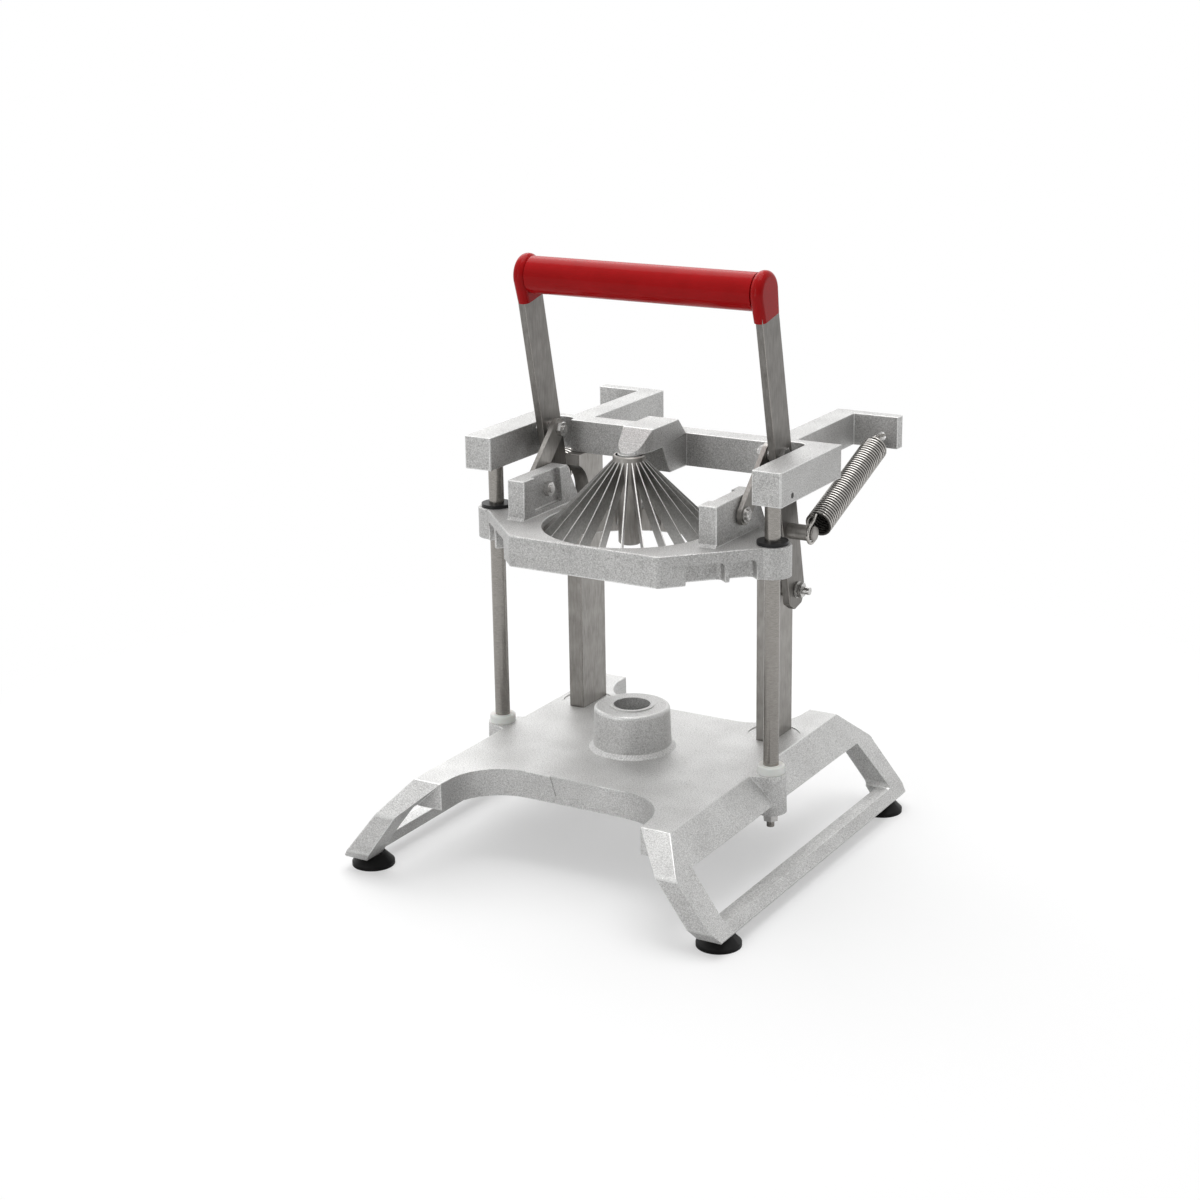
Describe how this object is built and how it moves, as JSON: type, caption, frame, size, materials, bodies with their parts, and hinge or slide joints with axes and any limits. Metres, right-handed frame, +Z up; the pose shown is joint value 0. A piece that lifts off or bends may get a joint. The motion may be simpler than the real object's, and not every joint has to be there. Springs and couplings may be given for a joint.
{
  "type": "fruit and onion wedger press",
  "caption": "Bench lever press that pushes an onion or apple through a cone of thin blades on a head that slides on guide rods.",
  "frame": {"origin": "on the table, under the middle of the whole press", "axes": "+X to the operator's right, +Y away from the operator, +Z up"},
  "size_m": [0.3574, 0.3966, 0.4843],
  "materials": {
    "cast_aluminium": "sand cast, tumbled, fine grain",
    "stainless_bar": "cold rolled flat bar, dull",
    "ground_rod": "ground rod",
    "blade_steel": "thin ground sheet",
    "spring_steel": "oiled wire",
    "zinc_fastener": "zinc plated",
    "red_vinyl": "glossy moulded vinyl",
    "white_nylon": "turned nylon",
    "black_bushing": "filled plastic",
    "black_rubber": "moulded rubber"
  },
  "bodies": {
    "frame": {"base_casting": "cast_aluminium", "rubber_feet": "black_rubber", "foot_screws": "zinc_fastener", "guide_rod_left": "ground_rod", "guide_rod_right": "ground_rod", "rod_nuts": "zinc_fastener", "bumper_washer_left": "white_nylon", "bumper_washer_right": "white_nylon", "rear_column_left": "stainless_bar", "rear_column_right": "stainless_bar", "column_screws": "zinc_fastener", "yoke_casting": "cast_aluminium", "yoke_set_screws": "zinc_fastener", "stripper_rod": "stainless_bar", "pivot_bolts": "zinc_fastener", "pivot_spacers": "stainless_bar", "pivot_washers": "zinc_fastener", "pivot_nuts": "zinc_fastener"},
    "lever": {"lever_arm_left": "stainless_bar", "lever_arm_right": "stainless_bar", "handle_bar": "stainless_bar", "grip_sleeve": "red_vinyl", "grip_cap_left": "red_vinyl", "grip_cap_right": "red_vinyl", "spring_pin_left": "stainless_bar", "spring_pin_right": "stainless_bar", "link_top_bolts": "zinc_fastener"},
    "head": {"head_casting": "cast_aluminium", "rod_bushing_left": "black_bushing", "rod_bushing_right": "black_bushing", "blade_hub": "stainless_bar", "cutting_blades": "blade_steel", "blade_band": "stainless_bar", "lug_bolts": "zinc_fastener", "lug_washers": "zinc_fastener", "lug_nuts": "zinc_fastener"},
    "link_left_body": {"link_left": "stainless_bar", "link_top_nut_left": "zinc_fastener"},
    "spring_left_upper": {"spring_hook_left": "spring_steel"},
    "spring_left_lower": {"spring_coil_left": "spring_steel"},
    "link_right_body": {"link_right": "stainless_bar", "link_top_nut_right": "zinc_fastener"},
    "spring_right_upper": {"spring_hook_right": "spring_steel"},
    "spring_right_lower": {"spring_coil_right": "spring_steel"}
  },
  "joints": [
    {"name": "lever_hinge", "type": "hinge", "parent": "frame", "child": "lever", "pos_m": [0, 0.05922, 0.2125], "axis": [1, 0, 0], "range_deg": [0, 95.74], "stiffness_Nm_per_rad": 4, "springref_deg": -68.75},
    {"name": "head_slide", "type": "slide", "parent": "frame", "child": "head", "axis": [0, 0, -1], "range_m": [0, 0.1593]},
    {"name": "link_left_hinge", "type": "hinge", "parent": "head", "child": "link_left_body", "pos_m": [-0.0992, -0.01278, 0.292], "axis": [1, 0, 0], "range_deg": [0, 95.64]},
    {"name": "spring_left_swing", "type": "hinge", "parent": "frame", "child": "spring_left_upper", "pos_m": [-0.132, 0.18637, 0.319], "axis": [1, 0, 0], "range_deg": [0, 15.04]},
    {"name": "spring_left_stretch", "type": "slide", "parent": "spring_left_upper", "child": "spring_left_lower", "axis": [0, -0.9381, -0.3463], "range_m": [0, 0.06833], "deforming": ["spring_coil_left"]},
    {"name": "link_right_hinge", "type": "hinge", "parent": "head", "child": "link_right_body", "pos_m": [0.0992, -0.01278, 0.292], "axis": [1, 0, 0], "range_deg": [0, 95.64]},
    {"name": "spring_right_swing", "type": "hinge", "parent": "frame", "child": "spring_right_upper", "pos_m": [0.132, 0.18637, 0.319], "axis": [1, 0, 0], "range_deg": [0, 15.04]},
    {"name": "spring_right_stretch", "type": "slide", "parent": "spring_right_upper", "child": "spring_right_lower", "axis": [0, -0.9381, -0.3463], "range_m": [0, 0.06833], "deforming": ["spring_coil_right"]}
  ],
  "couplings": [
    {"joint": "head_slide", "follows": "lever_hinge", "m_per_rad": 0.095276},
    {"joint": "link_left_hinge", "follows": "lever_hinge", "ratio": 0.99849},
    {"joint": "spring_left_swing", "follows": "lever_hinge", "ratio": 0.15652},
    {"joint": "spring_left_stretch", "follows": "lever_hinge", "m_per_rad": 0.040833},
    {"joint": "link_right_hinge", "follows": "lever_hinge", "ratio": 0.99849},
    {"joint": "spring_right_swing", "follows": "lever_hinge", "ratio": 0.15652},
    {"joint": "spring_right_stretch", "follows": "lever_hinge", "m_per_rad": 0.040833}
  ]
}
